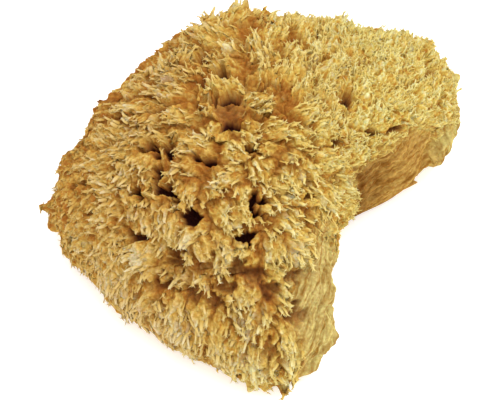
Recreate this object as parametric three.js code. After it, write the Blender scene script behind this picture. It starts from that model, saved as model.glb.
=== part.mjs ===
// A dry natural sponge, as sold for washing: one kidney-shaped dome of soft fibre, cut off flat where it
// grew on the rock. Pointed tufts cover it, with open pits between them. The wall of the bay on its right
// and the side of its front lobe are trimmed nearly smooth.
// Millimetres, +Z up. The sponge stands on its cut face at Z = 0, with the origin under its middle.
import * as THREE from 'three';
import { ConvexGeometry } from 'three/addons/geometries/ConvexGeometry.js';
import { mergeVertices } from 'three/addons/utils/BufferGeometryUtils.js';

const { clamp, degToRad, euclideanModulo, lerp, seededRandom, smoothstep } = THREE.MathUtils;

// The skin that the tufts grow from, seen from above: its widest outline, counter-clockwise from the bay
const OUTLINE = [
  [34, -6], [53, 6], [71, 24], [71, 44], [57, 61], [31, 67], [3, 71], [-23, 63], [-48, 40],
  [-65, 15], [-73, -6], [-66, -23], [-47, -46], [-20, -65], [5, -74], [21, -64], [25, -46], [26, -23],
];
const HEART = new THREE.Vector3(-7, 4, 0); // the outline's middle, under the crown
const CROWN_RADIUS = 60; // the dome is round near its crown, and eases to the outline at its rim

// Heights of the skin
const CROWN_HEIGHT = 50;
const SHOULDER_HEIGHT = 43; // where the dome turns down, on average
const SHOULDER_TILT = 5; // the shoulder is higher at the back than at the front by twice this
const SHOULDER_HIGH_AT = degToRad(80);
const RIM_HEIGHT = 14; // the widest level
const FOOT_SHARE = 0.9; // the cut face reaches this share of the outline
const TUCK = degToRad(35); // latitude, below the rim, at which the side meets the cut face

// Roundness of the side's profile: 2 is an ellipse, and more is squarer
const DOME_ROUNDNESS = 2.3;
const WING_ROUNDNESS = 3.6;
const WING_AT = degToRad(14);
const WING_SPREAD = degToRad(24);

// Trimmed sides, as azimuths from the heart: the bay's wall up to the wing's end, and the lobe's side
const TRIMMED_SIDES = [
  { middle: degToRad(6), half: degToRad(16) },
  { middle: degToRad(-53), half: degToRad(13) },
];
const TRIM_EDGE = [0.7, 1.3]; // shares of a side's half width over which its trimming ends
const TRIM_FADES = [degToRad(30), degToRad(48)]; // latitudes over which trimming gives way to tufts

// Tufts
const TUFT_LENGTH = 5.4;
const TUFT_LENGTH_SPREAD = 0.5; // a tuft is longer or shorter than that by up to this share
const TRIMMED_TUFT_SHARE = 0.25;
const TUFT_LEAN = 0.45; // outward lean per unit of rise, away from the crown
const TUFT_SPACING = 3.5;
const BASE_SPACING = 9; // corners of the cut face lie further apart
const SCATTER_TRIES = 60000;
const SCATTER_SEED = 7;

// Low mounds under the tufts: a pair of crossed waves, and a second pair that runs slantwise
const MOUND_HEIGHT = 1.6;
const MOUND_WIDTH = 14; // half a wave of the first pair
const SLANT_WIDTH = 17.5; // and of the second pair, along X or Y
const MOUND_PHASES = [1, 2];
const MOUND_SHEAR = 0.5; // how far the first pair shifts per unit of height

// Pits: where each one opens, seen from above, then its radius and its depth
const PIT_STEEPNESS = 3;
const PITS = [
  [-11, 9, 8, 13], [-11, 18, 6, 10], [-39, 0, 6, 10], [-30, -4, 5.5, 9], [-19, -8, 6, 10],
  [-35, -11, 6, 10], [-30, -19, 6, 10], [-42, -16, 6, 10], [-23, -27, 6, 10], [-63, -5, 6, 8],
  [-59, -16, 5.5, 7], [-60, 12, 6, 8], [-44, -31, 6, 9], [-32, 15, 5, 7], [-2, -4, 5.5, 9],
  [-2, -20, 5.5, 10], [-1, -27, 5.5, 10], [-3, -35, 6, 10], [-15, 28, 6.5, 9], [4, 23, 5.5, 8],
  [11, 35, 5.5, 8], [30, 18, 6.5, 9], [44, 9, 6, 8], [-4, -46, 7, 10], [-32, -45, 6, 9],
  [-22, -51, 5.5, 8], [-17, -42, 5.5, 8], [-29, -38, 5.5, 8], [13, -58, 6, 8], [2, -59, 5.5, 8],
  [11, -46, 5.5, 7], [-53, 27, 6, 8], [-33, 49, 6, 8], [-7, 63, 6, 8], [22, 59, 6, 8],
  [47, 52, 6, 8], [61, 36, 6, 8],
];

const outline = new THREE.CatmullRomCurve3(
  OUTLINE.map(([x, y]) => new THREE.Vector3(x, y, 0)), true, 'catmullrom', 0.5,
);
outline.arcLengthDivisions = 1000;

// The skin's point in a direction from the middle of the dome. The azimuth runs evenly along the outline.
// Above the rim the side follows a superellipse, below it a quarter ellipse, and the cut face is flat.
function skinPoint(direction) {
  const turn = Math.atan2(direction.y, direction.x) / (2 * Math.PI);
  const spoke = outline.getPointAt(euclideanModulo(turn, 1)).sub(HEART);
  const reach = spoke.length();
  const azimuth = Math.atan2(spoke.y, spoke.x);
  const latitude = latitudeOf(direction);
  let radius, height;
  if (latitude >= 0) {
    const wing = Math.exp(-(((azimuth - WING_AT) / WING_SPREAD) ** 2));
    const power = 2 / lerp(DOME_ROUNDNESS, WING_ROUNDNESS, wing);
    const out = Math.cos(latitude) ** power;
    const shoulder = SHOULDER_HEIGHT + SHOULDER_TILT * Math.cos(azimuth - SHOULDER_HIGH_AT);
    const top = lerp(CROWN_HEIGHT, shoulder, out ** 2);
    radius = out * lerp(CROWN_RADIUS, reach, out ** 2);
    height = RIM_HEIGHT + (top - RIM_HEIGHT) * Math.sin(latitude) ** power;
  } else if (latitude > -TUCK) {
    const down = -latitude / TUCK;
    radius = reach * lerp(FOOT_SHARE, 1, Math.sqrt(1 - down ** 2));
    height = RIM_HEIGHT * (1 - down);
  } else {
    radius = reach * FOOT_SHARE * (latitude + Math.PI / 2) / (Math.PI / 2 - TUCK);
    height = 0;
  }
  return spoke.setLength(radius).add(HEART).setZ(height);
}

function latitudeOf(direction) {
  return Math.asin(clamp(direction.z, -1, 1));
}

function onCutFace(direction) {
  return latitudeOf(direction) <= -TUCK;
}

// Directions whose skin points lie at least a tuft's spacing apart, or the base's spacing on the cut face
function scatterSites() {
  seededRandom(SCATTER_SEED);
  const sites = [];
  const points = [];
  for (let i = 0; i < SCATTER_TRIES; i++) {
    const z = 2 * seededRandom() - 1;
    const azimuth = 2 * Math.PI * seededRandom();
    const level = Math.sqrt(1 - z * z);
    const site = new THREE.Vector3(level * Math.cos(azimuth), level * Math.sin(azimuth), z);
    const point = skinPoint(site);
    const spacing = onCutFace(site) ? BASE_SPACING : TUFT_SPACING;
    if (points.some((other) => other.distanceToSquared(point) < spacing ** 2)) continue;
    sites.push(site);
    points.push(point);
  }
  return sites;
}

// Share of trimming on the skin at a direction, from 0 where tufts stand to 1 where they are cut short
function trimming(direction, point) {
  const azimuth = Math.atan2(point.y - HEART.y, point.x - HEART.x);
  const side = TRIMMED_SIDES.reduce((most, { middle, half }) => {
    return Math.max(most, 1 - smoothstep(Math.abs(azimuth - middle) / half, ...TRIM_EDGE));
  }, 0);
  return side * (1 - smoothstep(latitudeOf(direction), ...TRIM_FADES));
}

// Height of the mounds at a point: the mean of the two pairs of waves
function mound({ x, y, z }) {
  const wave = Math.PI / MOUND_WIDTH;
  const slant = Math.PI / SLANT_WIDTH;
  const shift = MOUND_SHEAR * z;
  const first = Math.sin(wave * (x + shift) + MOUND_PHASES[0]) * Math.cos(wave * (y - shift));
  const second = Math.sin(slant * (x - y) + MOUND_PHASES[1]) * Math.cos(slant * (x + y + z));
  return MOUND_HEIGHT * (first + second) / 2;
}

// A smooth bell with steep sides, which is 1 at its middle and 0 from 1 on
function bell(distance) {
  return Math.max(0, 1 - distance ** PIT_STEEPNESS) ** 2;
}

// Each pit with the skin point over which it opens: the one that is nearest to it, seen from above
function openPits(directions, points) {
  const above = points.filter((_, i) => directions[i].z > 0);
  return PITS.map(([x, y, radius, depth]) => {
    const gap = (point) => Math.hypot(point.x - x, point.y - y);
    const mouth = above.reduce((best, point) => (gap(point) < gap(best) ? point : best));
    return { mouth, radius, depth };
  });
}

// How far the skin sinks into the pits at a point, and the share of a tuft's length that is left there
function sinking(point, pits) {
  let depth = 0;
  let tuftShare = 1;
  for (const pit of pits) {
    const share = bell(point.distanceTo(pit.mouth) / pit.radius);
    depth = Math.max(depth, share * pit.depth);
    tuftShare = Math.min(tuftShare, 1 - share);
  }
  return { depth, tuftShare };
}

// Moves a skin point out along its normal by the mounds and by a tuft of the length given, which leans away
// from the crown, and in by the pits. Tufts are shorter on trimmed sides and near the cut face.
function grow(direction, point, normal, tuftLength, pits) {
  if (onCutFace(direction)) return point.clone();
  const { depth, tuftShare } = sinking(point, pits);
  const clear = smoothstep(point.z, 0, RIM_HEIGHT);
  const kept = lerp(1, TRIMMED_TUFT_SHARE, trimming(direction, point));
  const length = tuftLength * tuftShare * kept * clear;
  const outward = point.clone().sub(HEART).setZ(0).normalize();
  const tuft = normal.clone().addScaledVector(outward, TUFT_LEAN).setLength(length);
  const grown = point.clone().addScaledVector(normal, clear * mound(point) - depth).add(tuft);
  grown.z = Math.max(grown.z, 0);
  return grown;
}

// The sponge as one closed surface. A ball with a corner at each site gives its layout: every corner becomes
// the tip of a tuft, every face the hollow between three tufts, and each tuft is a pyramid on its hollows.
function spongeGeometry() {
  const ball = mergeVertices(new ConvexGeometry(scatterSites()).deleteAttribute('normal'));
  const corners = ball.getAttribute('position');
  const faces = Array.from({ length: ball.index.count / 3 }, (_, face) => {
    return [0, 1, 2].map((corner) => ball.index.getX(3 * face + corner));
  });

  const tipDirections = Array.from({ length: corners.count }, (_, i) => {
    return new THREE.Vector3().fromBufferAttribute(corners, i).normalize();
  });
  const tipSkin = tipDirections.map(skinPoint);
  tipSkin.forEach((point, i) => corners.setXYZ(i, point.x, point.y, point.z));
  ball.computeVertexNormals();
  const tipNormals = tipSkin.map((_, i) => {
    return new THREE.Vector3().fromBufferAttribute(ball.getAttribute('normal'), i);
  });
  const pits = openPits(tipDirections, tipSkin);

  const middleOf = (vectors, face) => {
    return face.reduce((sum, i) => sum.add(vectors[i]), new THREE.Vector3()).normalize();
  };
  const tips = tipDirections.map((direction, i) => {
    const length = TUFT_LENGTH * (1 + TUFT_LENGTH_SPREAD * (2 * seededRandom() - 1));
    return grow(direction, tipSkin[i], tipNormals[i], length, pits);
  });
  const hollows = faces.map((face) => {
    const direction = middleOf(tipDirections, face);
    return grow(direction, skinPoint(direction), middleOf(tipNormals, face), 0, pits);
  });

  const faceBeside = new Map();
  faces.forEach((face, f) => face.forEach((a, k) => faceBeside.set(`${a},${face[(k + 1) % 3]}`, f)));
  const triangles = faces.flatMap((face, f) => face.flatMap((a, k) => {
    const across = faceBeside.get(`${face[(k + 1) % 3]},${a}`);
    return [a, tips.length + across, tips.length + f];
  }));

  const geometry = new THREE.BufferGeometry().setFromPoints([...tips, ...hollows]);
  geometry.setIndex(triangles);
  geometry.computeVertexNormals();
  return geometry;
}

const fibre = new THREE.MeshStandardMaterial({ color: 0xc39a4e, roughness: 0.95, metalness: 0 });
const sponge = new THREE.Mesh(spongeGeometry(), fibre);
sponge.name = 'sponge';

// The origin is set under the middle of the finished sponge
const box = new THREE.Box3().setFromObject(sponge);
const middle = box.getCenter(new THREE.Vector3());
sponge.position.set(-middle.x, -middle.y, 0);

const model = new THREE.Group();
model.add(sponge);
export default model;
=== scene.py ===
"""A dry natural sponge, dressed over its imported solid.

The sponge is one kidney-shaped dome of soft fibre that lies on the flat face where it was cut from the rock.
Its flesh is one closed surface of felt, with mounds, clumps, tufts and open pits. The felt is worn short and
combed into streaks on the wall of the bay, on the side of the front lobe and at the wing's end. Flat tongues
of fibre carry on the highest tufts, and their ends are split into points.

Metres, +Z up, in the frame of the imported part.
"""

import logging
import math
from dataclasses import dataclass, field
from enum import Enum
from functools import cached_property

import bpy
import numpy as np
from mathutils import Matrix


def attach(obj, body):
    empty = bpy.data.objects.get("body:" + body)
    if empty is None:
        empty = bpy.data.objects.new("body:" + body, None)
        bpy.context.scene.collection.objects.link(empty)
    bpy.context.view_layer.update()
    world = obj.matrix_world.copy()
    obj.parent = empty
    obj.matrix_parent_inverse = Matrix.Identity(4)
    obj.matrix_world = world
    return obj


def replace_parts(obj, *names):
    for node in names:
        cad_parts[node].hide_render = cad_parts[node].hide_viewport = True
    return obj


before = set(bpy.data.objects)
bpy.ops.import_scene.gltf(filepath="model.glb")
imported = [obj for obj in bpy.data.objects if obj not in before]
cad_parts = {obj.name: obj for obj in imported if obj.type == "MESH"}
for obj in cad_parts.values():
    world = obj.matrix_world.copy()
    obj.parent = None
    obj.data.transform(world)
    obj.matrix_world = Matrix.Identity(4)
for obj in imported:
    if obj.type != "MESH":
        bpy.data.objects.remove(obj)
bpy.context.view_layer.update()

Array = np.ndarray
Colour = tuple[float, float, float, float]
Pair = tuple[float, float]
Triple = tuple[float, float, float]
Socket = bpy.types.NodeSocket

MM = 0.001
TINY = 1e-9  # keeps a number from being nought
WHITE: Colour = (1.0, 1.0, 1.0, 1.0)
BODY = "root"
NODE = "sponge"
BAKE_MAP = "OFBake"
log = logging.getLogger("sponge")


def unit(vectors: Array) -> Array:
    """Scale each row to length 1."""
    return vectors / np.maximum(np.linalg.norm(vectors, axis=-1, keepdims=True), 1e-12)


def beside(vectors: Array, axes: Array) -> Array:
    """Turn vectors square to unit axes, and scale them to length 1."""
    return unit(vectors - axes * (vectors * axes).sum(axis=1, keepdims=True))


def lerp(low: Array | float, high: Array | float, share: Array | float) -> Array | float:
    """Go from low to high by a share."""
    return low + (high - low) * share


def smooth_step(value: Array, low: float, high: float) -> Array:
    """Ease from 0 at low to 1 at high.

    Args:
        value: the numbers to ease.
        low: where the step starts.
        high: where it ends.

    Returns:
        t squared times (3 - 2t), where t is the share of the way from low to high.
    """
    share = np.clip((value - low) / (high - low), 0.0, 1.0)
    return share * share * (3.0 - 2.0 * share)


def srgb(red: int, green: int, blue: int) -> Colour:
    """Turn a colour as screens show it, 0 to 255, into the linear colour that shaders use.

    Args:
        red: red as shown.
        green: green as shown.
        blue: blue as shown.

    Returns:
        The linear colour, opaque.
    """
    shown = np.array([red, green, blue]) / 255.0
    line = np.where(shown <= 0.04045, shown / 12.92, ((shown + 0.055) / 1.055) ** 2.4)
    return (*line.tolist(), 1.0)


def number(cubes: Array) -> Array:
    """Give each grid cube a number of its own."""
    return cubes @ np.array([73856093, 19349663, 83492791])


def random_directions(rng: np.random.Generator, count: int) -> Array:
    """Draw directions evenly over a ball.

    Args:
        rng: the source of the draws.
        count: how many to draw.

    Returns:
        Unit vectors, one a row.
    """
    return unit(rng.normal(size=(count, 3)))


def put(name: str, data: bpy.types.ID) -> bpy.types.Object:
    """Put an object with some data into the scene, at the origin."""
    thing = bpy.data.objects.new(name, data)
    bpy.context.scene.collection.objects.link(thing)
    return thing


@dataclass(frozen=True)
class Waves:
    """A smooth random field: the sum of plane waves of one length, which may be drawn out along a run."""

    length: float
    seed: int
    count: int = 28
    run: Triple = (0.0, 0.0, 1.0)
    stretch: float = 1.0

    def at(self, points: Array) -> Array:
        """Sum sin(k . p + phase) over the waves, scaled to a mean square of about 1.

        Args:
            points: where to read the field.

        Returns:
            One number for each point.
        """
        rng = np.random.default_rng(self.seed)
        along = random_directions(rng, self.count)
        run = unit(np.array(self.run))
        along -= (1.0 - 1.0 / self.stretch) * np.outer(along @ run, run)
        phase = rng.uniform(0.0, 2.0 * math.pi, self.count)
        angle = points @ along.T * (2.0 * math.pi / self.length) + phase
        return np.sin(angle).sum(axis=1) * math.sqrt(2.0 / self.count)


@dataclass(frozen=True)
class Warp:
    """A random shift of points, by one field of waves for each axis."""

    length: float
    height: float
    seed: int  # of the first axis

    def at(self, points: Array) -> Array:
        """Work out each point's shift."""
        return self.height * np.stack([Waves(self.length, self.seed + axis).at(points) for axis in range(3)], axis=1)


@dataclass(frozen=True)
class Cells:
    """A random field of cells: every point belongs to the nearest of many middles, strewn one to a grid cube."""

    size: float
    seed: int
    jitter: float = 0.95

    def draw(self, cubes: Array, channel: int) -> Array:
        """Draw a number from 0 to 1 for each grid cube, always the same for the same cube.

        Args:
            cubes: whole-number places in the grid, one a row.
            channel: which of the cube's numbers to draw.

        Returns:
            One number for each cube.
        """
        mixed = number(cubes) + 9176 * channel + 7919 * self.seed
        for shift, factor in ((15, 2246822519), (13, 3266489917), (16, 668265263)):
            mixed = ((mixed ^ (mixed >> shift)) * factor) & 0xFFFFFFFF
        return (mixed ^ (mixed >> 16)) / 2.0**32

    def middle(self, cubes: Array) -> Array:
        """Find the middles of cells, in grid cubes."""
        return cubes + 0.5 + self.jitter * (np.stack([self.draw(cubes, k) for k in range(3)], axis=1) - 0.5)

    def at(self, points: Array) -> tuple[Array, Array, Array]:
        """Find each point's cell.

        Args:
            points: where to read the field.

        Returns:
            The vector from the nearest middle and how much further the second nearest is, both in grid cubes,
            and the nearest one's cube.
        """
        scaled = points / self.size
        home = np.floor(scaled).astype(np.int64)
        first = np.full(len(points), np.inf)
        second = first.copy()
        owner = home.copy()
        for step in np.ndindex(3, 3, 3):
            cube = home + np.array(step) - 1
            gap = np.linalg.norm(scaled - self.middle(cube), axis=1)
            nearer = gap < first
            second = np.where(nearer, first, np.minimum(second, gap))
            first = np.where(nearer, gap, first)
            owner = np.where(nearer[:, None], cube, owner)
        return scaled - self.middle(owner), second - first, owner


@dataclass(frozen=True)
class TuftLayer:
    """One size of tuft: tongues of felt, one to a cell, that rise along the flow of the fibre and end in a lip."""

    cells: Cells
    height: float
    lowest: float = 0.3  # the lowest tongues' share of the height
    root_width: float = 0.62  # half a tongue's width, in grid cubes
    tip_width: float = 0.36
    steepness: float = 0.9
    stray: float = 0.3

    def raise_felt(
        self, offset: Array, owner: Array, flow: tuple[Array, Array], way: Array, upright: Array
    ) -> tuple[Array, Array]:
        """Raise the tongues.

        With u and v a point's place along the flow and across it, from the middle of its cell, a tongue is
        (1/2 + steepness u) (1 - v squared / width squared) of its height, and narrows towards its lip. Where
        tongues stand upright, the first factor turns into 1 - u squared / width squared.

        Args:
            offset: vectors from the cells' middles, in grid cubes.
            owner: the cells' cubes.
            flow: the way that the fibre runs, along the skin, and the way across it.
            way: the way that the tongues point.
            upright: how far they stand upright, from 0 to 1.

        Returns:
            The vectors by which the felt stands out, and each point's share of the way up its tongue.
        """
        along, across = ((offset * axis).sum(axis=1) for axis in flow)
        lying = 0.5 + self.steepness * along
        rise = np.clip(lerp(lying, 1.0 - (along / self.root_width) ** 2, upright), 0.0, 1.0)
        width = lerp(self.root_width, self.tip_width, rise)
        draw = self.cells.draw
        share = rise * np.clip(1.0 - (across / width) ** 2, 0.0, 1.0) * lerp(self.lowest, 1.0, draw(owner, 4))
        stray = 2.0 * self.stray * (np.stack([draw(owner, k) for k in (5, 6, 7)], axis=1) - 0.5)
        return unit(way + stray) * (self.height * share)[:, None], share


@dataclass(frozen=True)
class TrimmedSide:
    """A side of the sponge where the fibre is worn short and combed into streaks along a run."""

    middle: float  # azimuth from the heart
    half: float
    run: Triple
    short: float  # how much of their height its tufts keep
    pleat: float = 0.6 * MM  # how high its pleats are
    edge: Pair = (0.7, 1.3)
    fades: Pair = (0.6, 0.82)  # the rise from which the fibre grows long again
    tilt: float = 0.3  # how far it faces up

    def axes(self) -> Array:
        """Give the ways along the run, across it and outward, one a row."""
        out = np.array([math.cos(self.middle), math.sin(self.middle), self.tilt])
        across = unit(np.cross(out, self.run))
        return np.stack([unit(np.array(self.run)), across, unit(out)])

    def share(self, azimuth: Array, rise: Array) -> Array:
        """Say how far the fibre is trimmed, from 0 to 1.

        Args:
            azimuth: azimuths from the heart.
            rise: shares of the way up from the rim.

        Returns:
            One share for each point.
        """
        turn = np.mod(azimuth - self.middle + math.pi, 2.0 * math.pi) - math.pi
        beside = 1.0 - smooth_step(np.abs(turn) / self.half, *self.edge)
        return beside * (1.0 - smooth_step(rise, *self.fades))


@dataclass(frozen=True)
class SpongeForm:
    """The smooth skin under the tufts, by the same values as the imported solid."""

    outline: tuple[Pair, ...] = (
        (34, -6), (53, 6), (71, 24), (71, 44), (57, 61), (31, 67), (3, 71), (-23, 63), (-48, 40),
        (-65, 15), (-73, -6), (-66, -23), (-47, -46), (-20, -65), (5, -74), (21, -64), (25, -46), (26, -23),
    )  # millimetres, counter-clockwise from the bay
    heart: Pair = (-7.0, 4.0)
    origin: Pair = (-1.48, -0.83)  # the part's origin, in the outline's millimetres
    crown_radius: float = 60 * MM
    crown_height: float = 50 * MM
    shoulder_height: float = 43 * MM
    shoulder_tilt: float = 5 * MM
    shoulder_high_at: float = math.radians(80)
    rim_height: float = 14 * MM
    foot_share: float = 0.9
    tuck: float = math.radians(16)
    dome_roundness: float = 2.3
    wing_roundness: float = 3.6
    wing_at: float = math.radians(14)
    wing_spread: float = math.radians(24)
    trimmed_sides: tuple[TrimmedSide, ...] = (
        TrimmedSide(math.radians(-3), math.radians(12), run=(0.72, 0.58, 0.3), short=0.12),  # the bay's wall
        TrimmedSide(
            math.radians(-58), math.radians(16), run=(-0.25, -0.93, -0.25), short=0.2, pleat=1.8 * MM
        ),  # the front lobe's side
        TrimmedSide(
            math.radians(22), math.radians(16), run=(-0.5, -0.35, -0.75), short=0.25, pleat=1.2 * MM, fades=(0.35, 0.6)
        ),  # the wing's end
    )
    flank: TrimmedSide = TrimmedSide(
        math.radians(155), math.radians(50), run=(0.0, 0.0, -1.0), short=0.62, fades=(0.55, 0.85)
    )
    samples: int = 2048  # steps by which the outline is measured
    normal_step: float = 2e-3
    skew: Triple = (0.1, 0.2, 0.3)  # keeps the first step from running along its direction

    def plan(self, places: tuple[Pair, ...]) -> Array:
        """Turn places in the outline's millimetres into metres from the part's origin."""
        return (np.array(places, float) - np.array(self.origin)) * MM

    def centre(self) -> Array:
        """Give the heart's place in plan, in metres."""
        return self.plan((self.heart,))[0]

    def rim(self, turn: Array) -> Array:
        """Follow the widest outline, a closed Catmull-Rom curve, evenly along its length.

        Args:
            turn: shares of the way round, from 0 to 1.

        Returns:
            The outline's points in plan.
        """
        knots = self.plan(self.outline)
        count = len(knots)

        def curve(share: Array) -> Array:
            """Find the curve's points at shares of the way through its knots."""
            step = np.floor(share * count).astype(int)
            t = (share * count - step)[:, None]
            a, b, c, d = (knots[(step + k) % count] for k in (-1, 0, 1, 2))
            return b + 0.5 * t * (c - a + t * (2 * a - 5 * b + 4 * c - d + t * (3 * (b - c) + d - a)))

        fine = np.linspace(0.0, 1.0, self.samples)
        steps = np.linalg.norm(np.diff(curve(fine), axis=0), axis=1)
        length = np.concatenate([[0.0], np.cumsum(steps)])
        return curve(np.interp(turn % 1.0, length / length[-1], fine))

    def skin(self, directions: Array) -> tuple[Array, Array, Array]:
        """Find the skin's point in each direction from the middle of the dome.

        The azimuth runs evenly along the outline. Above the rim the side is a superellipse, taken by its polar
        angle, whose radius eases from a round crown to the outline. Below the rim it is a quarter ellipse, and
        the cut face is flat.

        Args:
            directions: unit vectors.

        Returns:
            The points, their azimuths from the heart, and how far they rise from the rim to the top, from 0
            to 1, or from the rim down to the cut face, from 0 to -1.
        """
        spoke = self.rim(np.arctan2(directions[:, 1], directions[:, 0]) / (2.0 * math.pi)) - self.centre()
        reach = np.linalg.norm(spoke, axis=1)
        azimuth = np.arctan2(spoke[:, 1], spoke[:, 0])
        latitude = np.arcsin(np.clip(directions[:, 2], -1.0, 1.0))

        wing = np.exp(-(((azimuth - self.wing_at) / self.wing_spread) ** 2))
        power = lerp(self.dome_roundness, self.wing_roundness, wing)
        across, up = np.abs(np.cos(latitude)), np.abs(np.sin(latitude))
        polar = (across**power + up**power) ** (-1.0 / power)
        out, rise = across * polar, up * polar
        shoulder = self.shoulder_height + self.shoulder_tilt * np.cos(azimuth - self.shoulder_high_at)
        top = lerp(self.crown_height, shoulder, out**2)
        dome_radius = out * lerp(self.crown_radius, reach, out**2)
        dome_height = self.rim_height + (top - self.rim_height) * rise

        down = np.clip(-latitude / self.tuck, 0.0, 1.0)
        tuck_radius = reach * lerp(self.foot_share, 1.0, np.sqrt(1.0 - down**2))
        base_radius = reach * self.foot_share * (latitude + math.pi / 2) / (math.pi / 2 - self.tuck)

        above, flat = latitude >= 0.0, latitude <= -self.tuck
        radius = np.where(above, dome_radius, np.where(flat, base_radius, tuck_radius))
        height = np.where(above, dome_height, np.where(flat, 0.0, self.rim_height * (1.0 - down)))
        place = self.centre() + spoke * (radius / reach)[:, None]
        return np.column_stack([place, height]), azimuth, np.where(above, rise, -down)

    def normals(self, directions: Array) -> Array:
        """Find the skin's outward normals, from two small steps each way.

        Args:
            directions: unit vectors.

        Returns:
            Unit normals.
        """
        step = self.normal_step
        side = unit(np.cross(directions, np.roll(directions, 1, axis=1) + np.array(self.skew)))
        other = np.cross(directions, side)
        first = self.skin(unit(directions + step * side))[0] - self.skin(unit(directions - step * side))[0]
        second = self.skin(unit(directions + step * other))[0] - self.skin(unit(directions - step * other))[0]
        return unit(np.cross(first, second))

    def trimming(self, azimuth: Array, rise: Array) -> Array:
        """Say how far the skin is trimmed, from 0 where tufts stand to 1 where they are worn short.

        Args:
            azimuth: azimuths from the heart.
            rise: shares of the way up from the rim.

        Returns:
            One share for each trimmed side, a row, and each point.
        """
        return np.stack([side.share(azimuth, rise) for side in self.trimmed_sides])


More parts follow.
